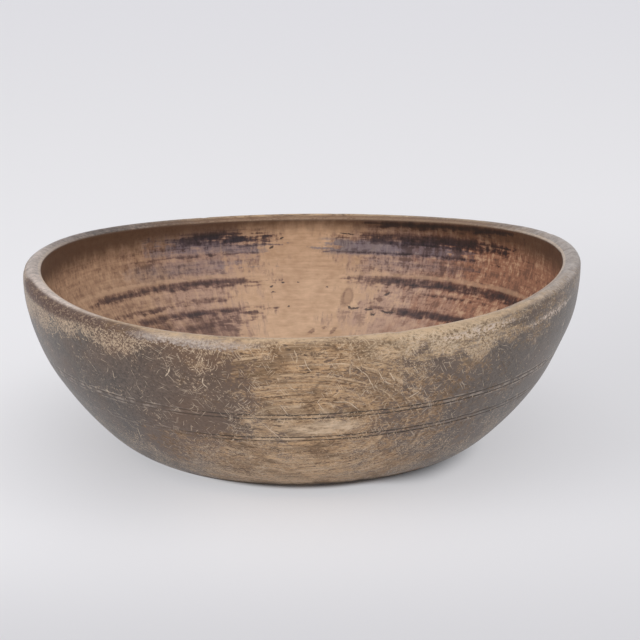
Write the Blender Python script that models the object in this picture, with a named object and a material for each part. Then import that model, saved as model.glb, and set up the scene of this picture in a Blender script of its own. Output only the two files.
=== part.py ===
"""Ale bowl turned from one block of wood, standing on its flat foot.

Metres, +Z up. The origin is the middle of the foot, on the surface that the bowl stands on. The
grain runs along X. The wood has shrunk across the grain since it was turned, so the bowl is a little
narrower along Y, and its rim has drawn up into a saddle that is highest at the two ends of the grain.
"""

import math

import bmesh
import bpy
import numpy as np
from mathutils import Vector
from mathutils.geometry import interpolate_bezier

# The turned shape, as radii along the grain and heights above the foot
FOOT_RADIUS = 0.0905
SHOULDER_RADIUS = 0.170  # the widest part of the outside
SHOULDER_HEIGHT = 0.1095
FOOT_FLARE = Vector((0.0325, 0.0, 0.0048))  # how the outside leaves the foot, almost level
SHOULDER_RISE = 0.0491  # how far below the shoulder the outside is already turning upright
FLOOR_THICKNESS = 0.013
FLOOR_RADIUS = 0.040  # the level middle of the hollow
FLOOR_SPREAD = 0.082  # how far the hollow stays shallow outside that
INSIDE_LEAN = 0.0057  # how far the inside bulges out under the lip
INSIDE_DROP = 0.048

# The lip, rounded outside and sloping down to a crisp edge inside
LIP_ROLL = 0.0047
LIP_INNER_RADIUS = 0.1588
LIP_SLOPE = math.radians(25)
LIP_EDGE_RADIUS = 0.0012

# Two pairs of fine lines scribed round the outside
LINE_PAIR_HEIGHTS = (0.0501, 0.0660)
LINE_SPACING = 0.0026
LINE_WIDTH = 0.0010
LINE_DEPTH = 0.0005

# How the wood has moved since
SHRUNK_ACROSS_GRAIN = 0.945
RIM_SADDLE = 0.0047  # rise at both ends of the grain, and fall at both sides
RIM_TILT = 0.0020  # rise at the +X end, and fall at the other
RIM_RIPPLE = 0.0004
SQUARER_CORNERS = 0.0060
EGG_SHAPE = 0.0057

SEGMENTS = 72
WALL_STEPS = 12
HOLLOW_STEPS = 14
LIP_STEPS = 7
EDGE_STEPS = 3

WOOD_COLOUR = (0.155, 0.105, 0.068, 1.0)
WOOD_ROUGHNESS = 0.55


def clear_scene():
    for thing in list(bpy.data.objects):
        bpy.data.objects.remove(thing)


def wood_material():
    material = bpy.data.materials.new("aged_wood")
    material.use_nodes = True
    shader = material.node_tree.nodes["Principled BSDF"]
    shader.inputs["Base Color"].default_value = WOOD_COLOUR
    shader.inputs["Roughness"].default_value = WOOD_ROUGHNESS
    shader.inputs["Metallic"].default_value = 0.0
    return material


def arc(centre, radius, start, end, steps):
    """Points in the XZ plane along an arc, from one angle to another."""
    angles = [start + (end - start) * i / steps for i in range(steps + 1)]
    return [centre + Vector((radius * math.cos(a), 0.0, radius * math.sin(a))) for a in angles]


def outside_profile():
    """The outside from the foot's edge to just under the shoulder, one curve with scribed lines cut in it."""
    foot = Vector((FOOT_RADIUS, 0.0, 0.0))
    shoulder = Vector((SHOULDER_RADIUS, 0.0, SHOULDER_HEIGHT))
    upright = shoulder - Vector((0.0, 0.0, SHOULDER_RISE))
    curve = interpolate_bezier(foot, foot + FOOT_FLARE, upright, shoulder, 400)
    curve_heights = [point.z for point in curve]
    curve_radii = [point.x for point in curve]

    lines = [low + lift for low in LINE_PAIR_HEIGHTS for lift in (0.0, LINE_SPACING)]
    cuts = {}
    for middle in lines:
        cuts[middle - LINE_WIDTH / 2] = 0.0
        cuts[middle] = LINE_DEPTH
        cuts[middle + LINE_WIDTH / 2] = 0.0
    for step in range(WALL_STEPS):
        height = SHOULDER_HEIGHT * (step / WALL_STEPS) ** 2
        if min(abs(height - middle) for middle in lines) > LINE_SPACING:
            cuts[height] = 0.0
    return [
        Vector((float(np.interp(height, curve_heights, curve_radii)) - cuts[height], 0.0, height))
        for height in sorted(cuts)
    ]


def lip_profile():
    """Over the lip: round the outer roll, down the sloping top, and round the inner edge."""
    roll_centre = Vector((SHOULDER_RADIUS - LIP_ROLL, 0.0, SHOULDER_HEIGHT))
    roll = arc(roll_centre, LIP_ROLL, 0.0, math.pi / 2 + LIP_SLOPE, LIP_STEPS)
    edge_x = LIP_INNER_RADIUS + LIP_EDGE_RADIUS
    top_drop = (roll[-1].x - edge_x) * math.tan(LIP_SLOPE) + LIP_EDGE_RADIUS / math.cos(LIP_SLOPE)
    edge_centre = Vector((edge_x, 0.0, roll[-1].z - top_drop))
    return roll + arc(edge_centre, LIP_EDGE_RADIUS, math.pi / 2 + LIP_SLOPE, math.pi, EDGE_STEPS)


def hollow_profile(lip_edge):
    """The inside from the lip's inner edge down to the level middle, one curve."""
    floor = Vector((FLOOR_RADIUS, 0.0, FLOOR_THICKNESS))
    under_lip = lip_edge + Vector((INSIDE_LEAN, 0.0, -INSIDE_DROP))
    shallow = floor + Vector((FLOOR_SPREAD, 0.0, 0.0))
    return interpolate_bezier(lip_edge, under_lip, shallow, floor, HOLLOW_STEPS + 1)[1:]


def moved_by_drying(point):
    """Where a turned point lies now: narrower across the grain, and lifted or let down towards the rim."""
    turn = math.atan2(point.y, point.x)
    outline = (
        1
        + SQUARER_CORNERS * (1 - math.cos(4 * turn))
        + EGG_SHAPE * (math.cos(3 * turn) - math.cos(turn))
    )
    rise = (
        RIM_TILT * math.cos(turn)
        + RIM_SADDLE * math.cos(2 * turn)
        + RIM_RIPPLE * math.cos(4 * turn)
    )
    return Vector(
        (
            point.x * outline,
            point.y * outline * SHRUNK_ACROSS_GRAIN,
            point.z + rise * point.z / SHOULDER_HEIGHT,
        )
    )


def turned_bowl():
    """The half profile spun about Z, then moved as the wood moved in drying."""
    lip = lip_profile()
    profile = [Vector((0.0, 0.0, 0.0))] + outside_profile() + lip + hollow_profile(lip[-1])
    profile.append(Vector((0.0, 0.0, FLOOR_THICKNESS)))

    solid = bmesh.new()
    points = [solid.verts.new(point) for point in profile]
    edges = [solid.edges.new(pair) for pair in zip(points, points[1:])]
    bmesh.ops.spin(
        solid,
        geom=points + edges,
        cent=(0.0, 0.0, 0.0),
        axis=(0.0, 0.0, 1.0),
        angle=2 * math.pi,
        steps=SEGMENTS,
        use_merge=True,
    )
    bmesh.ops.remove_doubles(solid, verts=solid.verts, dist=1e-6)
    for vertex in solid.verts:
        vertex.co = moved_by_drying(vertex.co)
    bmesh.ops.recalc_face_normals(solid, faces=solid.faces)

    mesh = bpy.data.meshes.new("bowl")
    solid.to_mesh(mesh)
    solid.free()
    mesh.shade_smooth()
    mesh.set_sharp_from_angle(angle=math.radians(35))
    mesh.materials.append(wood_material())
    bowl = bpy.data.objects.new("bowl", mesh)
    bpy.context.scene.collection.objects.link(bowl)
    return bowl


clear_scene()
turned_bowl()
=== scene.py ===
"""An old turned ale bowl on a pale studio table, seen from the front and a little above."""

import math

import bpy
import numpy as np
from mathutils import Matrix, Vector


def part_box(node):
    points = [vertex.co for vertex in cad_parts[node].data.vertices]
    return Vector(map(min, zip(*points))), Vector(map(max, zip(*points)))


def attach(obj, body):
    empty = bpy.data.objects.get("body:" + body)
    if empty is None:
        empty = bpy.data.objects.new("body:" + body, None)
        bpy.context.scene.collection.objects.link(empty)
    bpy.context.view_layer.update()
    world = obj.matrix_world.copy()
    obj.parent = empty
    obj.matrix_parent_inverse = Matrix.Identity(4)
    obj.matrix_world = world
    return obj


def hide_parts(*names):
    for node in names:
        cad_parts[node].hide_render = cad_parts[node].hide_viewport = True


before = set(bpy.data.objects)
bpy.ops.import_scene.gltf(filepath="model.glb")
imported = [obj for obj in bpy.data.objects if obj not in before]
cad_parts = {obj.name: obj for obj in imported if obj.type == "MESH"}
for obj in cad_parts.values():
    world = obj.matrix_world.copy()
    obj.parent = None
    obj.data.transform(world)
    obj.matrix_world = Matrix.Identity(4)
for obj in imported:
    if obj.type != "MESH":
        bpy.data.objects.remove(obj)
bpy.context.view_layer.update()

# The bowl
# One block of birch, turned on a lathe and hollowed, with a flat foot, a rolled lip and two pairs of
# fine scribed lines. Drying has drawn it oval and lifted its rim at the two ends of the grain, which
# runs along X. Use has darkened the end grain, and rubbed, scratched and stained the rest.

bowl_low, bowl_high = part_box("bowl")
SHOULDER_RADIUS = (bowl_high.x - bowl_low.x) / 2
SHOULDER_HEIGHT = 0.1095
FOOT_RADIUS = 0.0905
FOOT_FLARE = (0.0325, 0.0048)
SHOULDER_RISE = 0.0491
FLOOR_THICKNESS = 0.013
FLOOR_RADIUS = 0.040
FLOOR_SPREAD = 0.082
INSIDE_LEAN = 0.0057
INSIDE_DROP = 0.048
LIP_ROLL = 0.0047
LIP_INNER_RADIUS = 0.1588
LIP_SLOPE = math.radians(25)
LIP_EDGE_RADIUS = 0.0012
SCRIBED_HEIGHTS = (0.0501, 0.0527, 0.0660, 0.0686)
SCRIBED_HALF_WIDTH = 0.00045
SCRIBED_DEPTH = 0.00055
SCRIBED_SAG = 0.0014
SAG_TURN = 0.25
SAG_POWER = 6
DEEPEST_TURN = 1.35
LEAST_KEPT = 0.18
FRONT_KEPT = 0.77
LOW_PAIR_KEPT = 0.60
LOW_PAIR_SWING = 0.40
SLOW_WEAR = 0.35
QUICK_WEAR = 0.55
SHRUNK_ACROSS_GRAIN = 0.945
RIM_SADDLE = 0.0047
RIM_TILT = 0.0020
RIM_RIPPLE = 0.0004
SQUARER_CORNERS = 0.0060
EGG_SHAPE = 0.0057
LIP_WEAR = 0.0016
LIP_WEAR_MIDDLE = 0.0050
LIP_WEAR_REACH = 0.0038
ROWS = 222
COLUMNS = 438


def bezier(start, leave, arrive, end, count=400):
    """A cubic Bezier curve: each point is the four corners weighed by the cubic's binomial shares."""
    share = np.linspace(0, 1, count)[:, None]
    rest = 1 - share
    corners = [np.array(corner) for corner in (start, leave, arrive, end)]
    weights = (rest**3, 3 * rest**2 * share, 3 * rest * share**2, share**3)
    return sum(weight * corner for weight, corner in zip(weights, corners))


def arc(centre, radius, first, last, count=80):
    """A circular arc: the centre plus the radius turned from the first angle to the last."""
    angles = np.linspace(first, last, count)
    return np.array(centre) + radius * np.stack([np.cos(angles), np.sin(angles)], 1)


def turned_profile():
    """Radius and height along the half section, from the foot's middle over the lip to the hollow's.

    The outside and the hollow are one Bezier curve each. The lip is an arc, a slope and a small arc.
    Returns the points and the distance along them at which the lip's top starts and ends.
    """
    foot = np.array([(0.0, 0.0), (FOOT_RADIUS, 0.0)])
    shoulder = np.array([SHOULDER_RADIUS, SHOULDER_HEIGHT])
    wall = bezier(foot[1], foot[1] + FOOT_FLARE, shoulder - (0, SHOULDER_RISE), shoulder)
    top_angle = math.pi / 2 + LIP_SLOPE
    roll = arc(shoulder - (LIP_ROLL, 0), LIP_ROLL, 0, top_angle)
    edge_x = LIP_INNER_RADIUS + LIP_EDGE_RADIUS
    drop = (roll[-1, 0] - edge_x) * math.tan(LIP_SLOPE) + LIP_EDGE_RADIUS / math.cos(LIP_SLOPE)
    edge = arc((edge_x, roll[-1, 1] - drop), LIP_EDGE_RADIUS, top_angle, math.pi)
    floor = np.array([(FLOOR_RADIUS, FLOOR_THICKNESS), (0.0, FLOOR_THICKNESS)])
    hollow = bezier(edge[-1], edge[-1] + (INSIDE_LEAN, -INSIDE_DROP), floor[0] + (FLOOR_SPREAD, 0), floor[0])
    stretches = [foot, wall[1:], roll[1:], edge, hollow[1:], floor[1:]]
    ends = np.cumsum([len(stretch) for stretch in stretches])
    points = np.concatenate(stretches)
    along = np.concatenate([[0], np.cumsum(np.hypot(*np.diff(points, axis=0).T))])
    return points, along, along[ends[2] - 1], along[ends[3] - 1]


profile, profile_along, lip_top_along, lip_edge_along = turned_profile()
shoulder_along = profile_along[np.argmax(profile[:, 0])]

# Rows lie closest round the scribed lines and over the lip, and widest across the foot and the floor
WALL_STEP = 0.0022
HOLLOW_STEP = 0.0024
LIP_STEP = 0.0008
LINE_STEP = 0.0003
FOOT_STEP = 0.009
FLOOR_STEP = 0.006
LIP_STRETCH = 0.014
LINE_STRETCH = 0.0013
FINE_COUNT = 6000
along = np.linspace(0, profile_along[-1], FINE_COUNT)
height_along = np.interp(along, profile_along, profile[:, 1])
radius_along = np.interp(along, profile_along, profile[:, 0])
sag_middle = SCRIBED_SAG / 2
off_lines = np.abs(height_along[:, None] + sag_middle - np.array(SCRIBED_HEIGHTS))
near_line = off_lines.min(axis=1) - sag_middle
on_outside = along < shoulder_along
in_hollow = along > lip_edge_along
on_lip = np.abs(along - (shoulder_along + lip_edge_along) / 2) < LIP_STRETCH
row_step = np.where(in_hollow, HOLLOW_STEP, WALL_STEP)
row_step = np.where(on_lip, LIP_STEP, row_step)
row_step = np.where((near_line < LINE_STRETCH) & on_outside, LINE_STEP, row_step)
row_step = np.where((radius_along < 0.9 * FOOT_RADIUS) & on_outside, FOOT_STEP, row_step)
row_step = np.where((radius_along < FLOOR_RADIUS) & in_hollow, FLOOR_STEP, row_step)
row_count = np.concatenate([[0], np.cumsum(np.diff(along) / row_step[1:])])
row_along = np.interp(np.linspace(0, row_count[-1], ROWS + 2)[1:-1], row_count, along)

turn = np.linspace(0, 2 * np.pi, COLUMNS, endpoint=False)[None, :]
row_radius = np.interp(row_along, profile_along, profile[:, 0])[:, None]
row_height = np.interp(row_along, profile_along, profile[:, 1])[:, None]
row_along = row_along[:, None]


def moved_by_drying(radius, height, turn):
    """Where a turned point lies now: the outline is squared and narrowed, and the rim lifted and let down."""
    outline = 1 + SQUARER_CORNERS * (1 - np.cos(4 * turn)) + EGG_SHAPE * (np.cos(3 * turn) - np.cos(turn))
    rise = RIM_TILT * np.cos(turn) + RIM_SADDLE * np.cos(2 * turn) + RIM_RIPPLE * np.cos(4 * turn)
    x = radius * outline * np.cos(turn)
    y = radius * outline * np.sin(turn) * SHRUNK_ACROSS_GRAIN
    return np.stack([x, y, height + rise * height / SHOULDER_HEIGHT], -1)


def outward(points):
    """The unit normals of a closed ring grid: the step round it crossed with the step along its profile."""
    round_it = np.roll(points, -1, axis=1) - np.roll(points, 1, axis=1)
    normal = np.cross(round_it, np.gradient(points, axis=0))
    return normal / np.linalg.norm(normal, axis=2, keepdims=True)


def waves(turn, along, seed, count, turns, lengths):
    """Slow swells: a sum of cosines with whole numbers of waves round the bowl and random phases."""
    draw = np.random.default_rng(seed)
    round_it = draw.integers(turns[0], turns[1], count)
    length = draw.uniform(*lengths, count)
    phase = draw.uniform(0, 2 * np.pi, count)
    swell = np.cos(turn[..., None] * round_it + along[..., None] * 2 * np.pi / length + phase)
    return swell.sum(-1) / math.sqrt(count)


def scribed_cut(turn, along, height):
    """Depth of the scribed lines: round-bottomed grooves, sagging and deepest at the front.

    Elsewhere use has worn them shallow, here more and there less, and the lower pair most at the left.
    """
    height = height + SCRIBED_SAG * np.clip(-np.sin(turn + SAG_TURN), 0, 1) ** SAG_POWER
    kept = LEAST_KEPT + FRONT_KEPT * np.clip(np.cos(turn + DEEPEST_TURN), 0, 1) ** 3
    kept_low = kept * (LOW_PAIR_KEPT + LOW_PAIR_SWING * np.clip(2 * np.cos(turn) + 1, -1, 1))
    depth = 0
    for number, line in enumerate(SCRIBED_HEIGHTS):
        slow = waves(turn, along * 0, 20 + number, 5, (1, 9), (1, 2))
        quick = waves(turn, along * 0, 30 + number, 9, (10, 60), (1, 2))
        worn = (kept_low if number < 2 else kept) * (1 + SLOW_WEAR * slow + QUICK_WEAR * quick)
        shape = np.clip(1 - ((height - line) / SCRIBED_HALF_WIDTH) ** 2, 0, 1)
        depth = depth + SCRIBED_DEPTH * np.clip(worn, 0.05, 1.1) * shape
    return depth * (along < shoulder_along)


def dents(turn, along, seed, count, middle, spread, sizes, depths):
    """Depth of small knocks: round dips of random place and size, scattered about one line of the profile."""
    draw = np.random.default_rng(seed)
    place = draw.uniform(0, 2 * np.pi, count)
    level = middle + draw.uniform(-spread, spread, count)
    size = draw.uniform(*sizes, count)
    depth = draw.uniform(*depths, count)
    across = (np.mod(turn[..., None] - place + np.pi, 2 * np.pi) - np.pi) * SHOULDER_RADIUS
    reach = (across**2 + (along[..., None] - level) ** 2) / size**2
    return (depth * np.exp(-2 * reach)).sum(-1)


# The swells as a seed, how many, waves round the bowl and lengths along it; the knocks as a seed, how many,
# their middle line along the profile and spread about it, sizes and depths
FOOT_MARGIN = 0.1
SWELL_HEIGHT = 0.00022
SWELLS = (3, 14, (0, 7), (0.03, 0.09))
LIP_KNOCKS = (5, 46, lip_top_along - 0.004, 0.009, (0.002, 0.007), (0.0001, 0.0007))
WALL_KNOCKS = (6, 60, 0.17, 0.07, (0.002, 0.006), (0.0001, 0.0005))
points = moved_by_drying(row_radius, row_height, turn)
above_foot = np.clip(row_radius / FOOT_RADIUS - 1.0, 0, FOOT_MARGIN) / FOOT_MARGIN
relief = SWELL_HEIGHT * waves(turn, row_along, *SWELLS) * above_foot
relief = relief - scribed_cut(turn, row_along, row_height)
relief = relief - dents(turn, row_along, *LIP_KNOCKS)
relief = relief - dents(turn, row_along, *WALL_KNOCKS) * above_foot
# At the left end of the grain use has worn the outer side of the lip rounder
off_wear = (row_along - shoulder_along - LIP_WEAR_MIDDLE) / LIP_WEAR_REACH
relief = relief - LIP_WEAR * np.exp(-(off_wear**2)) * np.clip(-np.cos(turn), 0, 1) ** 3
points = points + relief[..., None] * outward(points)

foot_middle = len(points.reshape(-1, 3))
number = np.arange(foot_middle).reshape(ROWS, COLUMNS)
beside = np.roll(number, -1, axis=1)
quads = np.stack([number[:-1], beside[:-1], beside[1:], number[1:]], -1).reshape(-1, 4)
foot_fan = np.stack([beside[0], number[0], np.full(COLUMNS, foot_middle)], -1)
floor_fan = np.stack([number[-1], beside[-1], np.full(COLUMNS, foot_middle + 1)], -1)
poles = [(0, 0, 0), (0, 0, FLOOR_THICKNESS)]
bowl_mesh = bpy.data.meshes.new("turned_bowl")
faces = quads.tolist() + foot_fan.tolist() + floor_fan.tolist()
bowl_mesh.from_pydata(points.reshape(-1, 3).tolist() + poles, [], faces)
bowl_mesh.shade_smooth()

# What the finish needs to know of the turning: the turn about the axis as a cosine and a sine with the
# turned height, the distance along the profile, and how far a point lies over the lip to the inside
lathe = np.stack(np.broadcast_arrays(np.cos(turn), np.sin(turn), row_height), -1).reshape(-1, 3)
lathe = np.concatenate([lathe, [(1, 0, 0), (1, 0, FLOOR_THICKNESS)]])
bowl_mesh.attributes.new("lathe", "FLOAT_VECTOR", "POINT").data.foreach_set("vector", lathe.ravel())
over_lip = np.clip((row_along - lip_top_along) / (lip_edge_along - lip_top_along), 0, 1)
for name, values, ends in (
    ("along", row_along, (0, profile_along[-1])),
    ("inside", over_lip, (0, 1)),
):
    flat = np.concatenate([np.broadcast_to(values, (ROWS, COLUMNS)).ravel(), ends])
    bowl_mesh.attributes.new(name, "FLOAT", "POINT").data.foreach_set("value", flat)

wood = bpy.data.materials.new("old_turned_birch")
wood.use_nodes = True
tree = wood.node_tree
shader = tree.nodes["Principled BSDF"]


def put(kind, **settings):
    """Adds a node to the finish in hand and gives it its plain settings."""
    node = tree.nodes.new(kind)
    for name, value in settings.items():
        setattr(node, name, value)
    return node


def feed(socket, value):
    """Joins a socket to another node's output, or gives it a plain value."""
    if isinstance(value, bpy.types.NodeSocket):
        tree.links.new(value, socket)
    else:
        socket.default_value = value


def reckon(operation, *values):
    """The result of one sum on numbers or on other nodes' outputs."""
    node = put("ShaderNodeMath", operation=operation)
    for socket, value in zip(node.inputs, values):
        feed(socket, value)
    return node.outputs[0]


def times(*values):
    """All the values multiplied together."""
    product = values[0]
    for value in values[1:]:
        product = reckon("MULTIPLY", product, value)
    return product


def plus(*values):
    """All the values added together."""
    total = values[0]
    for value in values[1:]:
        total = reckon("ADD", total, value)
    return total


def fade(value, start, end):
    """0 at start and 1 at end, with a smooth step between, whichever is the larger."""
    node = put("ShaderNodeMapRange", interpolation_type="SMOOTHSTEP")
    feed(node.inputs["Value"], value)
    feed(node.inputs["From Min"], start)
    feed(node.inputs["From Max"], end)
    return node.outputs["Result"]


def between(value, low, high, soft):
    """1 from low to high, fading to 0 over a soft margin outside them."""
    return times(fade(value, low - soft, low), fade(value, high + soft, high))


def stretched(coordinates, scale, shift):
    """Coordinates scaled along each axis, so that a pattern on them is drawn out along the small ones."""
    node = put("ShaderNodeMapping")
    feed(node.inputs["Vector"], coordinates)
    feed(node.inputs["Scale"], scale)
    feed(node.inputs["Location"], shift)
    return node.outputs[0]


def cloud(coordinates, scale, detail=2.0, roughness=0.5, warp=0.0, shift=(0, 0, 0)):
    """Soft random variation about a half, with features about 1 / scale long on each axis."""
    if not isinstance(scale, tuple):
        scale = (scale, scale, scale)
    node = put("ShaderNodeTexNoise")
    feed(node.inputs["Vector"], stretched(coordinates, scale, shift))
    feed(node.inputs["Scale"], 1.0)
    feed(node.inputs["Detail"], detail)
    feed(node.inputs["Roughness"], roughness)
    feed(node.inputs["Distortion"], warp)
    return node.outputs["Fac"]


def mixed(share, first, second, blend="MIX"):
    """The second colour laid over the first by a share from 0 to 1."""
    node = put("ShaderNodeMix", data_type="RGBA", blend_type=blend, clamp_factor=True)
    feed(node.inputs[0], share)
    for socket, colour in ((node.inputs[6], first), (node.inputs[7], second)):
        feed(socket, colour if isinstance(colour, bpy.types.NodeSocket) else (*colour, 1.0))
    return node.outputs[2]


def joined(x, y, z):
    """Three numbers put together as coordinates."""
    node = put("ShaderNodeCombineXYZ")
    for socket, value in zip(node.inputs, (x, y, z)):
        feed(socket, value)
    return node.outputs[0]


def parted(coordinates):
    """The three numbers that make up some coordinates."""
    node = put("ShaderNodeSeparateXYZ")
    feed(node.inputs[0], coordinates)
    return node.outputs


def swayed(field, amount):
    """A random field that lies about a half, brought either side of nought and scaled."""
    return reckon("MULTIPLY_ADD", field, amount, -amount / 2)


def sway(coordinates, scale, amount, **shape):
    """Random variation either side of nought, as far as half the amount each way."""
    return swayed(cloud(coordinates, scale, **shape), amount)


def spindles(across, along, lean, length, width, kept, shift):
    """Thin marks at one lean: stretched cells with a spindle at the middle of each, and only some kept."""
    with_lean = plus(times(across, math.cos(lean)), times(along, math.sin(lean)))
    off_lean = plus(times(across, -math.sin(lean)), times(along, math.cos(lean)))
    node = put("ShaderNodeTexVoronoi", voronoi_dimensions="2D", feature="F1")
    feed(node.inputs["Scale"], 1.0)
    cells = joined(reckon("MULTIPLY_ADD", with_lean, 0.5 / length, shift), times(off_lean, 0.5 / width), 0.0)
    feed(node.inputs["Vector"], cells)
    chance = parted(node.outputs["Color"])[0]
    return times(fade(node.outputs["Distance"], 0.42, 0.16), reckon("LESS_THAN", chance, kept))


def rest_of(mask):
    """What a mask leaves over: 1 where it is 0, and 0 where it is 1."""
    return reckon("SUBTRACT", 1.0, mask)


def largest(masks):
    """The largest of several masks."""
    most = masks[0]
    for mask in masks[1:]:
        most = reckon("MAXIMUM", most, mask)
    return most


WALL_RADIUS = 0.155
FAR_OFF = 9.0


def measured(coordinates, direction):
    """How far coordinates reach along a direction, in lengths of it turned over."""
    node = put("ShaderNodeVectorMath", operation="DOT_PRODUCT")
    feed(node.inputs[0], coordinates)
    feed(node.inputs[1], direction)
    return node.outputs["Value"]


def drawn(canvas, marks):
    """Marks drawn singly: thin ellipses from place to place, 1 along their middles and 0 away from them.

    A mark is a half width and its places, in degrees round the bowl and millimetres of turned height. Each
    stretch is measured in half lengths and half widths from its middle, and the least of these is kept.
    """
    least = FAR_OFF
    for half_width, *path in marks:
        spots = [np.array([math.radians(turn) * WALL_RADIUS, level / 1000, 0.0]) for turn, level in path]
        for first, last in zip(spots, spots[1:]):
            half_run = (last - first) / 2
            half_length = np.linalg.norm(half_run)
            sideways = np.array([-half_run[1], half_run[0], 0.0]) / half_length
            offset = put("ShaderNodeVectorMath", operation="SUBTRACT")
            feed(offset.inputs[0], canvas)
            feed(offset.inputs[1], (first + last) / 2)
            lengthwise = measured(offset.outputs[0], half_run / (half_length * (half_length + half_width)))
            widthwise = measured(offset.outputs[0], sideways / half_width)
            reach = reckon("MULTIPLY_ADD", widthwise, widthwise, times(lengthwise, lengthwise))
            least = reckon("MINIMUM", reach, least)
    return fade(least, 1.5, 0.3)


place = put("ShaderNodeTexCoord").outputs["Object"]
east, north, up = parted(place)
lathe_at = put("ShaderNodeAttribute", attribute_name="lathe").outputs["Vector"]
turn_cos, turn_sin, height = parted(lathe_at)
profile_at = put("ShaderNodeAttribute", attribute_name="along").outputs["Fac"]
inside = put("ShaderNodeAttribute", attribute_name="inside").outputs["Fac"]
outside = rest_of(inside)
angle = reckon("ARCTAN2", turn_sin, turn_cos)
above_foot_edge = fade(profile_at, FOOT_RADIUS * 0.60, FOOT_RADIUS * 1.25)
end_grain = times(reckon("ABSOLUTE", turn_cos), above_foot_edge)
unrolled = times(angle, WALL_RADIUS)
at_right = fade(turn_cos, 0.10, 0.40)


def round_from(first, last, soft):
    """1 from one turn about the axis to another, in degrees, fading over a margin in radians outside them."""
    return between(angle, math.radians(first), math.radians(last), soft)


# Bare wood: growth rings about the heart of the log, long fibres, and short dark pores along the grain
PITH_HEIGHT = 0.130
RING_BULGE_HEIGHT = 0.056
RING_BULGE = 8.0
BARE_PALE = (0.665, 0.428, 0.232)
GRIME = (0.120, 0.072, 0.034)
BARE_DEEP = (0.150, 0.082, 0.039)
RING_PALE = (0.640, 0.460, 0.296)
RIGHT_OLIVE = (0.460, 0.365, 0.245)
PORE_BROWN = (0.070, 0.039, 0.022)
broad = cloud(place, 17.0)
patches = cloud(place, 58.0, 3.0, 0.6, shift=(2, 5, 9))
mottle = cloud(place, (130.0, 260.0, 260.0), 2.0, 0.6, shift=(1, 4, 6))
flecks = cloud(place, (560.0, 860.0, 860.0), 2.0, 0.65, shift=(4, 1, 8))
fibres = cloud(place, (150.0, 850.0, 850.0), 2.0, 0.6)
grain = cloud(place, (42.0, 980.0, 980.0), 2.0, 0.6, shift=(8, 2, 5))
turning_lines = cloud(lathe_at, (5.0, 5.0, 700.0), 2.0, 0.6, shift=(1, 9, 3))
below_pith = reckon("SUBTRACT", up, PITH_HEIGHT)
off_bulge = reckon("SUBTRACT", up, RING_BULGE_HEIGHT)
ring_radius = reckon("SQRT", plus(times(north, north), times(below_pith, below_pith)))
ring_bulge = times(off_bulge, off_bulge, -RING_BULGE)
ring_radius = plus(ring_radius, ring_bulge, sway(place, (14.0, 30.0, 30.0), 0.005))
rings = cloud(joined(times(ring_radius, 760.0), 0.0, times(east, 3.0)), 1.0, 1.0, 0.5)
ring_lines = fade(reckon("ABSOLUTE", reckon("SUBTRACT", rings, 0.5)), 0.050, 0.010)
ring_lines = times(ring_lines, fade(patches, 0.34, 0.54))
ring_step = reckon("PINGPONG", plus(times(ring_radius, 230.0), times(rings, 0.9)), 0.5)
ring_arcs = times(fade(ring_step, 0.058, 0.010), fade(patches, 0.38, 0.54))
pores = fade(cloud(place, (190.0, 1250.0, 1050.0), 1.0, 0.5, shift=(3, 7, 1)), 0.58, 0.67)
wood_tone = plus(
    0.55,
    swayed(broad, 0.9),
    swayed(patches, 1.2),
    swayed(mottle, 1.2),
    swayed(fibres, 1.5),
    swayed(grain, 1.6),
    swayed(rings, 0.9),
    swayed(flecks, 2.5),
)
bare = mixed(wood_tone, BARE_DEEP, BARE_PALE)
bare = mixed(times(ring_lines, 0.60), bare, RING_PALE)
grime = cloud(place, (38.0, 100.0, 100.0), 3.0, 0.68, shift=(3, 3, 7))
grime = plus(
    grime,
    swayed(grain, 0.35),
    swayed(flecks, 0.40),
    times(fade(height, 0.070, 0.098), fade(turn_cos, 0.40, 0.0), 0.080),
)
bare = mixed(times(fade(grime, 0.47, 0.68), 0.66), bare, GRIME)
bare = mixed(times(pores, fade(patches, 0.36, 0.54), 0.80), bare, PORE_BROWN)
bare = mixed(times(ring_arcs, 0.75), bare, RING_PALE)
bare = mixed(times(at_right, fade(height, 0.080, 0.100), 0.32), bare, RIGHT_OLIVE)

# Outside: handling has left a dark, faintly glossy skin on the end grain, worn back to bare wood at the
# front and back, along the shoulder, and in patches above the foot
SKIN_DARK = (0.064, 0.048, 0.039)
SKIN_LIGHT = (0.152, 0.115, 0.091)
SKIN_BROWN = (0.200, 0.119, 0.074)
SKIN_UMBER = (0.105, 0.060, 0.037)
END_COOL_REFLECTION = (0.925, 0.985, 1.000)
LOW_WARM = (0.890, 0.825, 0.775)
clusters = fade(cloud(place, 40.0, 3.0, 0.6, shift=(7, 3, 5)), 0.44, 0.62)
shoulder_edge = plus(height, sway(place, 28.0, 0.045), sway(place, 95.0, 0.028))
shoulder_wear = times(fade(shoulder_edge, 0.0945, 0.1060), outside)
foot_wear = times(fade(height, 0.056, 0.018), above_foot_edge)
foot_dirt = rest_of(above_foot_edge)
dark_left = times(round_from(-126, -108, 0.22), between(height, 0.060, 0.104, 0.014))
pale_right = times(round_from(-68, -56, 0.24), fade(shoulder_edge, 0.0960, 0.1050))
skin_reach = plus(
    end_grain,
    swayed(broad, 0.50),
    swayed(patches, 1.00),
    swayed(mottle, 1.20),
    swayed(flecks, 1.40),
    times(shoulder_wear, -0.20),
    times(foot_wear, -0.10),
    times(dark_left, 0.36),
    times(pale_right, -0.25),
    times(turn_cos, above_foot_edge, -0.09),
    times(foot_dirt, 0.24),
    times(at_right, fade(height, 0.084, 0.100), swayed(turning_lines, 1.4)),
)
skin = plus(times(fade(skin_reach, 0.08, 0.42), 0.62), times(fade(skin_reach, 0.30, 0.52), 0.38))
right_film = times(at_right, fade(end_grain, 0.45, 0.72), fade(height, 0.100, 0.088), 0.48)
skin = reckon("MAXIMUM", skin, right_film)
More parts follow.
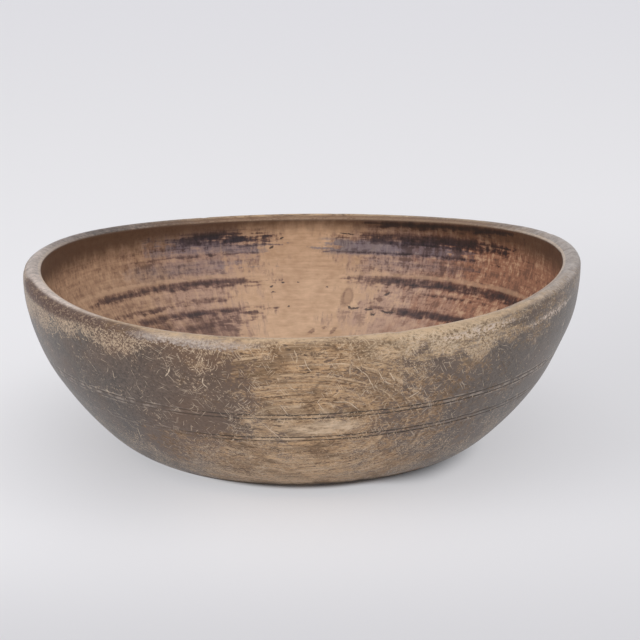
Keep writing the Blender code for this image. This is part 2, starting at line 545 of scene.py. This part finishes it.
skin_tone = plus(
    0.5,
    sway(place, 24.0, 0.8, shift=(9, 2, 3)),
    swayed(flecks, 3.6),
    swayed(rings, 0.5),
    swayed(mottle, 1.2),
    swayed(turning_lines, 0.7),
    times(turn_cos, above_foot_edge, 0.14),
    times(foot_wear, -0.16),
    times(fade(turn_cos, 0.45, 0.75), fade(height, 0.045, 0.060), 0.12),
)
skin_colour = mixed(skin_tone, SKIN_DARK, SKIN_LIGHT)
# On the ends of the grain the dark skin is tinted cool: a painted reflection of the pale, faintly blue
# surround
skin_colour = mixed(fade(end_grain, 0.45, 0.85), skin_colour, END_COOL_REFLECTION, "MULTIPLY")
skin_colour = mixed(fade(height, 0.050, 0.026), skin_colour, LOW_WARM, "MULTIPLY")
brown_patches = fade(cloud(place, 21.0, 3.0, 0.6, shift=(6, 8, 1)), 0.46, 0.70)
browning = plus(
    times(shoulder_wear, 0.75),
    times(brown_patches, 0.6),
    times(fade(end_grain, 0.70, 0.30), 0.75),
)
browning = times(browning, plus(0.30, times(fade(turn_cos, 0.70, 0.15), 0.45)))
skin_colour = mixed(browning, skin_colour, mixed(flecks, SKIN_UMBER, SKIN_BROWN))
outer_colour = mixed(skin, bare, skin_colour)

# Painted shade just above the foot, where the wall overhangs what it stands on: a dark band standing in for
# the contact shadow there, broken up by noise, with the very edge of the foot left clear of it
FOOT_CONTACT_SHADE = (0.014, 0.010, 0.008)
contact_shade_height = plus(height, swayed(patches, 0.0050), swayed(mottle, 0.0040))
foot_edge = times(fade(contact_shade_height, 0.0105, 0.0060), fade(contact_shade_height, 0.0010, 0.0040), outside)
foot_edge = times(foot_edge, fade(height, 0.0, 0.0012), plus(0.92, swayed(patches, 0.5), swayed(mottle, 0.8)))

# A paler rubbed patch between the scribed lines at the front
RUBBED_PALE = (0.730, 0.550, 0.375)
wander = sway(place, 60.0, 0.022)
canvas_across, canvas_up = plus(unrolled, times(wander, 0.25)), plus(height, times(wander, 0.20))
canvas = joined(canvas_across, canvas_up, 0.0)
rough_canvas = joined(plus(canvas_across, swayed(mottle, 0.006)), plus(canvas_up, swayed(flecks, 0.006)), 0.0)
rubbed = drawn(rough_canvas, [(0.0048, (-91.0, 57.6), (-79.5, 58.6)), (0.0036, (-87.5, 59.6), (-81.0, 59.0))])
rubbed = times(rubbed, plus(0.78, swayed(fibres, 2.4), swayed(flecks, 1.8), swayed(mottle, 0.8)), outside)
outer_colour = mixed(times(rubbed, 0.72), outer_colour, RUBBED_PALE)

# Scribed lines hold old dirt, thickest where the wood beside them is bare
LINE_DIRT = (0.036, 0.023, 0.016)
LINE_LIP = (0.450, 0.370, 0.300)
sagging = reckon("MAXIMUM", times(reckon("SINE", plus(angle, SAG_TURN)), -1.0), 0.0)
line_height = reckon("MULTIPLY_ADD", reckon("POWER", sagging, SAG_POWER), SCRIBED_SAG, height)
line_gap = 1.0
for line in SCRIBED_HEIGHTS:
    line_gap = reckon("MINIMUM", reckon("ABSOLUTE", reckon("SUBTRACT", line_height, line)), line_gap)
line_kept = fade(cloud(lathe_at, (11.0, 11.0, 420.0), 4.0, 0.75), 0.28, 0.50)
line_dirt = times(fade(line_gap, 0.00064, 0.00022), outside, line_kept, fade(turn_cos, -0.60, -0.20))
line_dirt = times(line_dirt, plus(0.35, times(fade(turn_cos, 0.90, 0.45), 0.65)))
outer_colour = mixed(times(line_dirt, 0.9), outer_colour, LINE_DIRT)
# Pale edges beside the grooves: chipped wood, partly a painted highlight where the edges catch the light,
# strongest on the ends of the grain and on the upper pair
line_lips = times(
    between(line_gap, 0.00075, 0.00110, 0.00035),
    outside,
    fade(end_grain, 0.30, 0.55),
    fade(mottle, 0.42, 0.60),
)
line_lips = times(line_lips, plus(0.40, times(fade(height, 0.058, 0.062), 0.60)))
outer_colour = mixed(times(line_lips, 0.55), outer_colour, LINE_LIP)

# Scuffs and scratches: fine pale hairs, crowded on the shoulder, above the foot and at the edges of the dark
# skin, with longer straight scratches over them and a few drawn singly
SCUFF_PALE = (0.620, 0.462, 0.312)
SCRATCH_PALE = (0.740, 0.590, 0.430)
SCUFFED_PINK = (0.690, 0.560, 0.470)
PALE_OLIVE = (0.640, 0.500, 0.355)
scuffed_strokes = (
    (0.0022, (-66, 107.0), (-46, 108.2)),
    (0.0016, (-42, 100.5), (-22, 103.0)),
)
scuff_layers = (
    (75, 0.0011, 0.00022, 0.55, 3.1),
    (22, 0.0009, 0.00022, 0.45, 7.7),
    (-35, 0.0013, 0.00022, 0.50, 11.3),
    (-72, 0.0010, 0.00022, 0.55, 13.9),
)
scratch_layers = (
    (52, 0.0040, 0.00024, 0.10, 17.3),
    (-63, 0.0050, 0.00024, 0.10, 23.9),
    (-18, 0.0045, 0.00024, 0.08, 29.4),
)
bent_across, bent_along = plus(unrolled, times(wander, 0.45)), plus(profile_at, times(wander, -0.45))
skin_edge = between(end_grain, 0.14, 0.42, 0.16)
to_front = fade(angle, math.radians(-150), math.radians(-126))
furred_edge = plus(height, times(to_front, -0.0050), swayed(patches, 0.018), swayed(mottle, 0.010))
at_left = fade(angle, math.radians(-118), math.radians(-130))
at_left_front = round_from(-160, -124, 0.13)
roll_along = plus(profile_at, times(to_front, at_left_front, -0.0032))
roll = fade(roll_along, shoulder_along - 0.0050, shoulder_along - 0.0015)
crest_along = plus(profile_at, times(at_left_front, -0.0036))
crest = fade(crest_along, shoulder_along + 0.0012, shoulder_along + 0.0048)
furred = times(at_left_front, between(furred_edge, 0.0970, 0.1045, 0.0045), outside)
scuffed_line = drawn(rough_canvas, scuffed_strokes)
shoulder_crowding = plus(
    0.10,
    times(clusters, reckon("MULTIPLY_ADD", at_right, -0.32, 0.45)),
    times(at_left, 0.40),
)
crowding = plus(
    0.006,
    times(clusters, 0.055),
    times(shoulder_wear, shoulder_crowding),
    times(furred, fade(patches, 0.30, 0.52), 1.15),
    times(scuffed_line, outside, 0.40),
    times(foot_wear, fade(patches, 0.42, 0.58), 0.70),
    times(skin_edge, clusters, 0.27),
    times(pale_right, clusters, 0.24),
)
smooth = reckon("MAXIMUM", times(crest, 0.85), times(roll, at_left_front, 0.85))
crowding = times(crowding, rest_of(smooth))


def hairs(layers, crowding):
    """Thin marks in layers, the largest of them kept at each spot.

    A layer is its lean in degrees, half length, half width, share kept and shift.
    """
    marks = 0.0
    for lean, length, width, share, shift in layers:
        kept = times(crowding, share)
        layer = spindles(bent_across, bent_along, math.radians(lean), length, width, kept, shift)
        marks = reckon("MAXIMUM", layer, marks)
    return marks


scuffs = hairs(scuff_layers, crowding)
scuffs = times(scuffs, fade(flecks, 0.34, 0.56))
grit = times(fade(flecks, 0.53, 0.72), fade(crowding, 0.06, 0.50), 0.60)
scuffs = reckon("MAXIMUM", scuffs, grit)
scratch_crowding = plus(0.16, times(skin_edge, 0.70), times(shoulder_wear, 0.3))
scratches = hairs(scratch_layers, scratch_crowding)
scratches = times(scratches, fade(mottle, 0.30, 0.55))
drawn_scratches = (
    (0.00026, (-89.6, 103), (-89.3, 99), (-88.5, 95.7)),
    (0.00024, (-91.7, 108), (-91.1, 104), (-91.2, 101)),
    (0.00025, (-80, 98), (-79.3, 94), (-78.1, 90), (-77, 84)),
    (0.00025, (-75.8, 94), (-74.7, 87), (-73.2, 84.5)),
    (0.00023, (-73.8, 92.5), (-72.8, 86.4)),
    (0.00025, (-69.4, 74), (-67.6, 76.8), (-67.2, 80.3)),
    (0.00024, (-91, 99), (-88.5, 100.1), (-86, 100.6), (-81, 100)),
    (0.00023, (-84, 76.6), (-81.3, 74.1), (-79.3, 68.5)),
    (0.00020, (-87.4, 76), (-86.2, 70)),
    (0.00020, (-94.4, 75.3), (-92.3, 68.2)),
    (0.00022, (-98, 61.2), (-94, 51.3)),
    (0.00032, (-108.2, 90), (-108.4, 87), (-107.7, 84)),
    (0.00030, (-114.2, 94.7), (-114.6, 91.5), (-115.4, 88.8)),
    (0.00036, (-131.5, 70.3), (-131.1, 68.1)),
    (0.00020, (-128, 84.3), (-128.2, 78.5)),
    (0.00024, (-128.2, 32.2), (-127.2, 24.5)),
    (0.00020, (-128, 46), (-129.8, 35)),
)
single_scratches = drawn(canvas, drawn_scratches)
scuffs = times(scuffs, outside)
long_scratches = largest([times(scratches, 0.60), times(single_scratches, 0.85, fade(flecks, 0.22, 0.48))])
long_scratches = times(long_scratches, outside)
outer_colour = mixed(times(scuffs, 0.92), outer_colour, SCUFF_PALE)
scuffed_band = times(scuffed_line, outside, fade(flecks, 0.40, 0.60), fade(mottle, 0.34, 0.56))
outer_colour = mixed(times(pale_right, fade(flecks, 0.38, 0.62), 0.42), outer_colour, PALE_OLIVE)
dark_specks = times(at_right, shoulder_wear, fade(plus(flecks, swayed(mottle, 0.7)), 0.46, 0.34))
dark_specks = times(dark_specks, reckon("MULTIPLY_ADD", crest, -0.35, 0.48))
outer_colour = mixed(dark_specks, outer_colour, GRIME)
outer_colour = mixed(times(scuffed_band, 0.76), outer_colour, SCUFFED_PINK)
outer_colour = mixed(long_scratches, outer_colour, SCRATCH_PALE)
pale_marks = reckon("MAXIMUM", scuffs, long_scratches)
drawn_gouges = (
    (0.0007, (-110, 90.5), (-103, 90)),
    (0.0005, (-102, 92.2), (-99.6, 92.0)),
    (0.0009, (-103, 60.4), (-98.5, 57.8)),
    (0.0004, (-95, 81), (-91.5, 80.8)),
    (0.0012, (-91, 106.5), (-85, 107)),
    (0.0005, (-62, 103.5), (-50, 104.3), (-38, 104.8)),
)
gouges = times(drawn(rough_canvas, drawn_gouges), outside, fade(flecks, 0.38, 0.58))
outer_colour = mixed(times(gouges, 0.75), outer_colour, PORE_BROWN)
# Lay on the painted contact shade just above the foot
outer_colour = mixed(foot_edge, outer_colour, FOOT_CONTACT_SHADE)

# High on the front and back the wood is warmer than on the ends of the grain
FRONT_WARM = (0.970, 0.930, 0.880)
warm_top = times(fade(height, 0.080, 0.096), fade(end_grain, 0.45, 0.15), outside)
outer_colour = mixed(warm_top, outer_colour, FRONT_WARM, "MULTIPLY")

# The rounded top of the lip is rubbed smooth, pale at the front and back and grey at the ends of the grain,
# and its sloping inner side is brown with dirt and drink. The pale top is partly painted light, where light
# from above falls on it, and the grey at the ends is partly a painted reflection of the white surround
CREST_TAN_AND_LIGHT = (0.560, 0.395, 0.245)
LEFT_GREY_AND_SHEEN = (0.730, 0.615, 0.540)
RIGHT_GREY_AND_SHEEN = (0.440, 0.385, 0.352)
WORN_RED = (0.080, 0.035, 0.023)
LIP_BROWN = (0.185, 0.093, 0.043)
EDGE_PALE_AND_HIGHLIGHT = (0.640, 0.490, 0.350)
HIGHLIGHT_GREY = (0.520, 0.455, 0.420)
red_roll = times(roll, at_left_front, outside, reckon("MULTIPLY_ADD", to_front, -0.42, 1.0))
red_roll = times(red_roll, plus(1.10, swayed(mottle, 2.4), swayed(flecks, 2.4), swayed(patches, 1.6)))
red_roll = times(red_roll, rest_of(times(scuffs, 0.8)))
outer_colour = mixed(red_roll, outer_colour, WORN_RED)
roll_grit = plus(swayed(flecks, 1.5), swayed(mottle, 0.9), swayed(patches, 0.5))
roll_grit = times(roll, at_left_front, outside, fade(roll_grit, 0.02, 0.30))
outer_colour = mixed(times(roll_grit, 0.36), outer_colour, SCUFF_PALE)
roll_blots = times(roll, round_from(-42, -12, 0.2), outside, fade(patches, 0.46, 0.62))
outer_colour = mixed(times(roll_blots, plus(0.60, swayed(flecks, 1.6))), outer_colour, SKIN_UMBER)
# A painted highlight: a pale lavender-grey streak along the top of the roll at the left front
painted_highlight = times(drawn(rough_canvas, [(0.0030, (-121, 111.0), (-99, 110.4))]), outside)
outer_colour = mixed(times(painted_highlight, plus(0.42, swayed(flecks, 1.2))), outer_colour, HIGHLIGHT_GREY)
at_ends = fade(plus(end_grain, swayed(patches, 0.35), times(at_right, -0.14)), 0.50, 0.85)
at_back = fade(turn_sin, 0.25, 0.70)
crest_wear_and_light = plus(
    0.62,
    swayed(mottle, 1.5),
    swayed(flecks, 1.7),
    times(at_back, -0.45),
    times(at_left_front, 0.22),
)
crest_share = times(crest, crest_wear_and_light)
crest_grey_and_sheen = mixed(fade(turn_cos, -0.2, 0.2), LEFT_GREY_AND_SHEEN, RIGHT_GREY_AND_SHEEN)
# The crest: worn pale wood with painted light on it, tan at the front and back and grey with a painted
# reflection at the ends
outer_colour = mixed(crest_share, outer_colour, mixed(at_ends, CREST_TAN_AND_LIGHT, crest_grey_and_sheen))
slope = times(fade(inside, 0.0, 0.22), rest_of(times(at_ends, 0.92)))
outer_colour = mixed(times(slope, plus(0.80, swayed(flecks, 0.9))), outer_colour, LIP_BROWN)
# The inner edge of the lip is paler: worn wood, partly a painted highlight along the edge
worn_edge_and_highlight = between(profile_at, lip_edge_along - 0.0022, lip_edge_along - 0.0008, 0.0006)
edge_wear_and_highlight = plus(0.50, swayed(flecks, 0.9), times(at_back, -0.42), times(at_left_front, 0.35))
worn_edge_and_highlight = times(worn_edge_and_highlight, edge_wear_and_highlight)
outer_colour = mixed(worn_edge_and_highlight, outer_colour, EDGE_PALE_AND_HIGHLIGHT)

# Round the left end and on to the back the top of the lip is darkened
LIP_TOP_DARKENING = (0.40, 0.37, 0.36)
lip_top_darkening = plus(times(fade(turn_sin, -0.50, -0.20), 0.36), times(fade(turn_sin, 0.05, 0.34), 0.60))
lip_top_darkening = times(lip_top_darkening, reckon("MULTIPLY_ADD", fade(turn_sin, 0.62, 0.72), -0.40, 1.0))
lip_top_darkening = times(lip_top_darkening, fade(turn_cos, -0.30, -0.60), crest)
outer_colour = mixed(lip_top_darkening, outer_colour, LIP_TOP_DARKENING, "MULTIPLY")

# Inside: smooth wood, paler at the back and front, browner to the left end of the grain and redder to the
# right, with short upright streaks and faint level lines from the turning
INSIDE_PALE = (0.690, 0.465, 0.300)
INSIDE_DEEP = (0.480, 0.298, 0.180)
MAUVE = (0.450, 0.292, 0.226)
LEFT_BROWN = (0.450, 0.281, 0.172)
RIGHT_RED = (0.338, 0.152, 0.085)
STREAK_BROWN = (0.165, 0.080, 0.052)
UNDER_LIP_DIRT_AND_SHADE = (0.070, 0.030, 0.012)
wall = fade(height, 0.014, 0.046)
streaks = cloud(lathe_at, (74.0, 74.0, 175.0), 3.0, 0.65)
columns = cloud(lathe_at, (26.0, 26.0, 62.0), 3.0, 0.65, shift=(5, 3, 2))
inner_tone = plus(
    0.62,
    swayed(broad, 1.6),
    swayed(fibres, 0.5),
    swayed(mottle, 1.6),
    swayed(patches, 1.0),
    times(swayed(turning_lines, 0.9), wall),
    times(fade(height, 0.050, 0.100), -0.30),
    times(plus(swayed(rings, 1.3), swayed(grain, 1.1), swayed(pores, -0.5)), fade(height, 0.040, 0.016)),
)
inner_colour = mixed(inner_tone, INSIDE_DEEP, INSIDE_PALE)
inner_reach = plus(end_grain, swayed(columns, 0.60), swayed(streaks, 0.30), swayed(patches, 0.45))
inner_colour = mixed(times(fade(inner_reach, 0.14, 0.42), wall, 0.85), inner_colour, MAUVE)
end_colour = mixed(fade(turn_cos, -0.2, 0.2), LEFT_BROWN, RIGHT_RED)
inner_colour = mixed(times(fade(inner_reach, 0.42, 0.78), wall, 0.90), inner_colour, end_colour)
streaked = plus(
    streaks,
    swayed(mottle, 1.2),
    swayed(turning_lines, 0.7),
    swayed(patches, 0.8),
    swayed(flecks, 0.5),
)
in_streaks = times(
    fade(inner_reach, 0.12, 0.32),
    fade(height, 0.020, 0.060),
    plus(1.0, times(at_right, 0.45)),
)
inner_colour = mixed(times(fade(streaked, 0.46, 0.82), in_streaks, 0.57), inner_colour, STREAK_BROWN)
inner_colour = mixed(times(fade(streaked, 0.46, 0.16), in_streaks, 0.42), inner_colour, INSIDE_PALE)
# Under the lip the inside is darkened: painted shade where the lip overhangs, with some dirt, reaching lower
# towards the ends of the grain and the left end
lip_shade = plus(height, times(end_grain, 0.0105), times(turn_cos, -0.0017), swayed(columns, 0.010))
inner_colour = mixed(times(fade(lip_shade, 0.0985, 0.1140), 0.92), inner_colour, UNDER_LIP_DIRT_AND_SHADE)

# Dark stain lies in bands along the turning, soaked into the wood near the ends of the grain only, with a
# brown edge and a black heart, both broken by the streaks
STAIN_BROWN = (0.450, 0.365, 0.365)
STAIN_BLACK = (0.250, 0.260, 0.365)
STAIN_LILAC = (0.490, 0.600, 0.910)
# Each band: turned height and half depth in mm, the turns it runs between in degrees, strength and hue
stain_bands = (
    (108.0, 2.1, 30, 75, 1.15, "black"),
    (97.8, 3.6, 34, 77, 1.35, "black"),
    (99.4, 4.6, 101, 124, 1.08, "black"),
    (100.2, 2.8, 102, 118, 1.35, "black"),
    (96.6, 5.4, 104, 128, 1.00, "lilac"),
    (94.6, 2.6, 122, 144, 0.45, "black"),
    (84.5, 7.5, 120, 148, 0.28, "black"),
    (91.4, 4.6, 44, 85, 1.40, "lilac"),
    (91.6, 4.8, 100, 131, 0.70, "lilac"),
    (87.6, 0.9, 34, 84, 0.64, "black"),
    (87.6, 0.9, 106, 142, 0.56, "black"),
    (93.5, 0.8, 100, 142, 0.48, "black"),
    (94.0, 0.8, 26, 70, 0.60, "black"),
    (81.0, 5.6, 42, 76, 0.52, "lilac"),
    (80.0, 6.0, 104, 141, 0.55, "lilac"),
    (68.5, 2.6, 16, 77, 1.05, "black"),
    (68.0, 2.3, 100, 156, 0.98, "black"),
    (62.0, 0.8, 28, 62, 0.60, "black"),
    (57.3, 1.5, 107, 125, 0.72, "black"),
    (56.0, 1.3, 123, 152, 0.72, "black"),
    (50.0, 2.1, 32, 67, 1.20, "black"),
    (49.8, 1.9, 100, 144, 1.00, "black"),
    (42.0, 6.5, 107, 143, 0.66, "black"),
    (73.0, 1.3, 18, 82, 1.1, "pale"),
    (72.6, 1.3, 98, 158, 1.1, "pale"),
)
turned_away = reckon("ABSOLUTE", angle)
along_bands = cloud(lathe_at, (5.0, 5.0, 380.0), 3.0, 0.65, shift=(8, 6, 4))
uprights = cloud(lathe_at, (24.0, 24.0, 12.0), 2.0, 0.6, shift=(2, 8, 8))
stain_height = plus(height, swayed(columns, 0.0020), swayed(mottle, 0.0030), swayed(along_bands, 0.0030))
stain_angle = plus(turned_away, swayed(columns, 0.40), swayed(mottle, 0.30), swayed(along_bands, 0.60))
stains = {"black": 0.0, "lilac": 0.0, "pale": 0.0}
for level, half, first, last, strength, hue in stain_bands:
    reach = between(stain_angle, math.radians(first) + 0.12, math.radians(last) - 0.12, 0.20)
    off_level = reckon("ABSOLUTE", reckon("SUBTRACT", stain_height, level / 1000))
    lie = fade(off_level, half * 0.0020, half * 0.0001)
    stains[hue] = reckon("MAXIMUM", times(lie, reach, strength), stains[hue])
breaking = plus(
    swayed(streaks, 0.7),
    swayed(along_bands, 1.2),
    swayed(uprights, 0.7),
    swayed(mottle, 1.0),
    swayed(patches, 0.8),
)
black = plus(times(stains["black"], plus(1.0, breaking)), times(breaking, 0.30))
lilac = plus(times(stains["lilac"], reckon("MULTIPLY_ADD", breaking, 0.6, 1.0)), times(breaking, 0.18))
on_wall = times(inside, wall)
pale = times(stains["pale"], plus(1.0, breaking), on_wall)
pale_share = times(fade(pale, 0.10, 1.10), plus(0.36, swayed(streaks, 0.7)))
inner_colour = mixed(pale_share, inner_colour, INSIDE_PALE)
inner_colour = mixed(times(fade(lilac, 0.10, 1.00), on_wall), inner_colour, STAIN_LILAC, "MULTIPLY")
inner_colour = mixed(times(fade(black, 0.04, 0.90), on_wall), inner_colour, STAIN_BROWN, "MULTIPLY")
inner_colour = mixed(times(fade(black, 0.25, 1.50), on_wall), inner_colour, STAIN_BLACK, "MULTIPLY")

# One small knot at the back, with a dark crack beside it, and a trail of dark specks
KNOT_BROWN = (0.350, 0.205, 0.125)
SPECK_BLACK = (0.050, 0.030, 0.026)
drawn_specks = (
    (0.0006, (73.2, 50.6), (75.6, 50.0), (77.0, 51.5)),
    (0.0005, (69.0, 49.6), (71.4, 49.4)),
    (0.0006, (62.0, 49.8), (66.5, 49.2)),
    (0.0010, (65.6, 60.5), (66.6, 59.4)),
    (0.0007, (68.0, 47.0), (69.2, 46.8)),
    (0.0005, (83.3, 63.6), (83.6, 63.4)),
    (0.0004, (90.9, 66.0), (91.2, 66.0)),
    (0.0006, (94.8, 66.0), (95.3, 66.2)),
    (0.0007, (98.2, 64.2), (98.9, 64.0)),
    (0.0005, (97.4, 60.2), (98.6, 60.0)),
    (0.0005, (93.8, 51.2), (94.2, 51.0)),
    (0.0006, (77.0, 101.0), (80.0, 100.6)),
    (0.0008, (95.0, 98.0), (95.6, 97.4)),
    (0.0009, (97.8, 92.0), (98.6, 91.4)),
)
knot = times(drawn(canvas, [(0.0044, (77.7, 55.8), (77.1, 58.2))]), inside)
knot_rim = times(knot, rest_of(drawn(canvas, [(0.0030, (77.4, 56.2), (77.0, 58.2))])))
inner_colour = mixed(times(knot, plus(0.5, swayed(mottle, 1.2))), inner_colour, KNOT_BROWN)
inner_colour = mixed(times(knot_rim, plus(0.55, swayed(flecks, 1.4))), inner_colour, STREAK_BROWN)
speck_across, speck_up = plus(canvas_across, swayed(mottle, 0.0030)), plus(canvas_up, swayed(flecks, 0.0022))
speck_canvas = joined(speck_across, speck_up, 0.0)
specks = times(drawn(speck_canvas, drawn_specks), inside)
inner_colour = mixed(times(specks, 0.92), inner_colour, SPECK_BLACK)
drawn_smudges = (
    (0.0012, (79.4, 38.4), (81.0, 36.4)),
    (0.0013, (86.4, 36.6), (87.4, 35.6)),
    (0.0006, (82.4, 38.4), (83.6, 38.0)),
)
smudges = times(drawn(speck_canvas, drawn_smudges), inside, plus(0.62, swayed(flecks, 1.2)))
inner_colour = mixed(smudges, inner_colour, STREAK_BROWN)

# The skin and the rubbed lip are a little glossier than bare wood, and scuffs and the painted contact shade
# above the foot are duller. The grain stands up finely outside, and the turning lines inside
WOOD_ROUGHNESS = 0.54
GRAIN_STRENGTH = 0.45
GRAIN_HEIGHT = 0.0004
inner_mask = fade(inside, 0.80, 1.0)
outer_mask = rest_of(inner_mask)
feed(shader.inputs["Base Color"], mixed(inner_mask, outer_colour, inner_colour))
gloss = times(largest([skin, crest]), outer_mask)
roughness = plus(
    WOOD_ROUGHNESS,
    times(gloss, -0.17),
    swayed(flecks, 0.20),
    times(pale_marks, 0.10),
    times(red_roll, 0.15),
    times(foot_edge, 0.45),
)
feed(shader.inputs["Roughness"], roughness)

bump = put("ShaderNodeBump")
bump.inputs["Strength"].default_value = GRAIN_STRENGTH
bump.inputs["Distance"].default_value = GRAIN_HEIGHT
outer_grain = plus(times(fibres, 0.5), times(pores, -0.5), times(flecks, 0.5))
inner_grain = plus(times(fibres, 0.25), times(streaks, 0.20), times(turning_lines, 0.35))
feed(bump.inputs["Height"], plus(times(outer_grain, outer_mask), times(inner_grain, inner_mask)))
feed(shader.inputs["Normal"], bump.outputs["Normal"])

bowl_mesh.materials.append(wood)
bowl = bpy.data.objects.new("turned_bowl", bowl_mesh)
bpy.context.scene.collection.objects.link(bowl)
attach(bowl, "root")
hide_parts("bowl")

# The table
# A wide sheet of pale, faintly cool card that the bowl stands on, running out of sight on all sides. Seen
# directly or in a gloss it is partly its own plain colour, so that the bowl's shadow on it stays faint.
# Painted shade lies in that plain colour, and a painted shadow in the card's own colour close round the foot.
TABLE_REACH = 14.0
TABLE_DROP = 0.0002
CARD_COLOUR = (0.80, 0.795, 0.82)
CARD_SHADED = (0.30, 0.30, 0.31)
SEEN_FRONT = (0.60, 0.595, 0.62)
SEEN_MIDDLE = (0.965, 0.960, 0.985)
SEEN_FAR = (0.96, 0.955, 1.0)
SEEN_SHADE = (0.66, 0.655, 0.68)
SEEN_SHARE = 0.50
CARD_ROUGHNESS = 0.75
CARD_GLOSS = 0.2
TABLE_RINGS = (0.4, 1.0, 2.5, 6.0, TABLE_REACH)
RING_CORNERS = 96
rim_turn = np.linspace(0, 2 * np.pi, RING_CORNERS, endpoint=False)
ring_reach = np.array(TABLE_RINGS)[:, None]
ring_east, ring_north = ring_reach * np.cos(rim_turn), ring_reach * np.sin(rim_turn)
sheet = np.stack(np.broadcast_arrays(ring_east, ring_north, -TABLE_DROP), -1)
corner = np.arange(sheet[..., 0].size).reshape(len(ring_reach), -1)
following = np.roll(corner, -1, axis=1)
rings_out = np.stack([corner[:-1], corner[1:], following[1:], following[:-1]], -1).reshape(-1, 4)


def looked_at():
    """1 for rays that show what lies there: from the camera, off a gloss, or through glass. 0 for light."""
    ray = put("ShaderNodeLightPath")
    return largest([ray.outputs[kind] for kind in ("Is Camera Ray", "Is Glossy Ray", "Is Transmission Ray")])


table_mesh = bpy.data.meshes.new("table")
table_mesh.from_pydata(sheet.reshape(-1, 3).tolist(), [], rings_out.tolist() + [corner[0].tolist()])
card = bpy.data.materials.new("pale_card")
card.use_nodes = True
tree = card.node_tree
card_shader = tree.nodes["Principled BSDF"]
card_shader.inputs["Roughness"].default_value = CARD_ROUGHNESS
card_shader.inputs["Specular IOR Level"].default_value = CARD_GLOSS
table_east, table_north = parted(put("ShaderNodeTexCoord").outputs["Object"])[:2]
table_radius = reckon("SQRT", plus(times(table_east, table_east), times(table_north, table_north)))
seen = put("ShaderNodeEmission")
# Painted shade in the card's plain colour: darker in front of the bowl, with painted shadows to the bowl's
# right and beside its left side
near_front = times(fade(table_north, -0.13, -0.32), fade(table_radius, 1.0, 0.45))
seen_colour = mixed(near_front, SEEN_MIDDLE, SEEN_FRONT)
seen_colour = mixed(fade(table_north, 0.6, 3.0), seen_colour, SEEN_FAR)
shade_right = times(
    fade(table_east, -0.05, 0.40),
    fade(table_north, 0.9, 0.1),
    fade(table_radius, 0.90, 0.30),
    0.90,
)
shade_left = times(fade(table_east, -0.03, -0.12), fade(table_radius, 0.27, 0.13), 0.42)
in_shade = reckon("MAXIMUM", shade_right, shade_left)
feed(seen.inputs["Color"], mixed(in_shade, seen_colour, SEEN_SHADE))
both = put("ShaderNodeMixShader")
right_of_foot = fade(table_east, 0.030, 0.080)
clear_from = times(plus(1.055, times(right_of_foot, 0.22)), FOOT_RADIUS)
clear_of_foot = fade(table_radius, FOOT_RADIUS * 0.972, clear_from)
# A painted shadow in the card's own colour, close round the foot on the right
foot_shadow = times(right_of_foot, fade(table_radius, FOOT_RADIUS * 1.30, FOOT_RADIUS * 0.93), 0.50)
feed(card_shader.inputs["Base Color"], mixed(foot_shadow, CARD_COLOUR, CARD_SHADED))
feed(both.inputs[0], times(looked_at(), clear_of_foot, SEEN_SHARE))
tree.links.new(card_shader.outputs[0], both.inputs[1])
tree.links.new(seen.outputs[0], both.inputs[2])
tree.links.new(both.outputs[0], tree.nodes["Material Output"].inputs["Surface"])
table_mesh.materials.append(card)
table = bpy.data.objects.new("table", table_mesh)
bpy.context.scene.collection.objects.link(table)

# The light
# A white surround as in a photographer's tent, with wide soft boxes overhead, to the left, the right and
# the front, each turned to face the bowl. The far background shows as plain pale card.
SURROUND_COLOUR = (0.98, 0.98, 1.0, 1.0)
SURROUND_STRENGTH = 0.60
BACKDROP_COLOUR = (0.80, 0.795, 0.82, 1.0)
world = bpy.data.worlds.new("white_tent")
world.use_nodes = True
tree = world.node_tree
surround = tree.nodes["Background"]
surround.inputs["Color"].default_value = SURROUND_COLOUR
surround.inputs["Strength"].default_value = SURROUND_STRENGTH
backdrop = put("ShaderNodeBackground")
backdrop.inputs["Color"].default_value = BACKDROP_COLOUR
lit_or_seen = put("ShaderNodeMixShader")
feed(lit_or_seen.inputs[0], looked_at())
feed(lit_or_seen.inputs[1], surround.outputs[0])
feed(lit_or_seen.inputs[2], backdrop.outputs[0])
feed(tree.nodes["World Output"].inputs["Surface"], lit_or_seen.outputs[0])
bpy.context.scene.world = world
soft_boxes = (
    ("overhead_box", (-0.15, -0.45, 1.7), 1.8, 6.5),
    ("left_box", (-1.25, -0.95, 1.15), 1.0, 4.5),
    ("right_box", (1.35, -0.25, 0.95), 0.9, 1.2),
    ("front_box", (0.1, -1.9, 0.85), 1.5, 7.5),
)
for name, stand, side, power in soft_boxes:
    lamp = bpy.data.lights.new(name, "AREA")
    lamp.shape = "SQUARE"
    lamp.size = side
    lamp.energy = power
    box = bpy.data.objects.new(name, lamp)
    box.location = stand
    box.rotation_euler = box.location.to_track_quat("Z", "Y").to_euler()
    bpy.context.scene.collection.objects.link(box)

# The camera
# It stands a metre in front of the bowl's middle and looks down over the near lip, turned a little to
# the right, through a long lens.
CAMERA_DISTANCE = 1.0
CAMERA_HEIGHT = 0.3558
CAMERA_TILT = math.radians(15.652)
CAMERA_YAW = math.radians(-0.628)
FILM_WIDTH = 36.0
FOCAL_LENGTH = 93.85
lens = bpy.data.cameras.new("camera")
lens.sensor_width = FILM_WIDTH
lens.lens = FOCAL_LENGTH
camera = bpy.data.objects.new("camera", lens)
camera.location = (0.0, -CAMERA_DISTANCE, CAMERA_HEIGHT)
camera.rotation_euler = (math.pi / 2 - CAMERA_TILT, 0.0, CAMERA_YAW)
bpy.context.scene.collection.objects.link(camera)
bpy.context.scene.camera = camera
bpy.context.scene.view_settings.view_transform = "Standard"
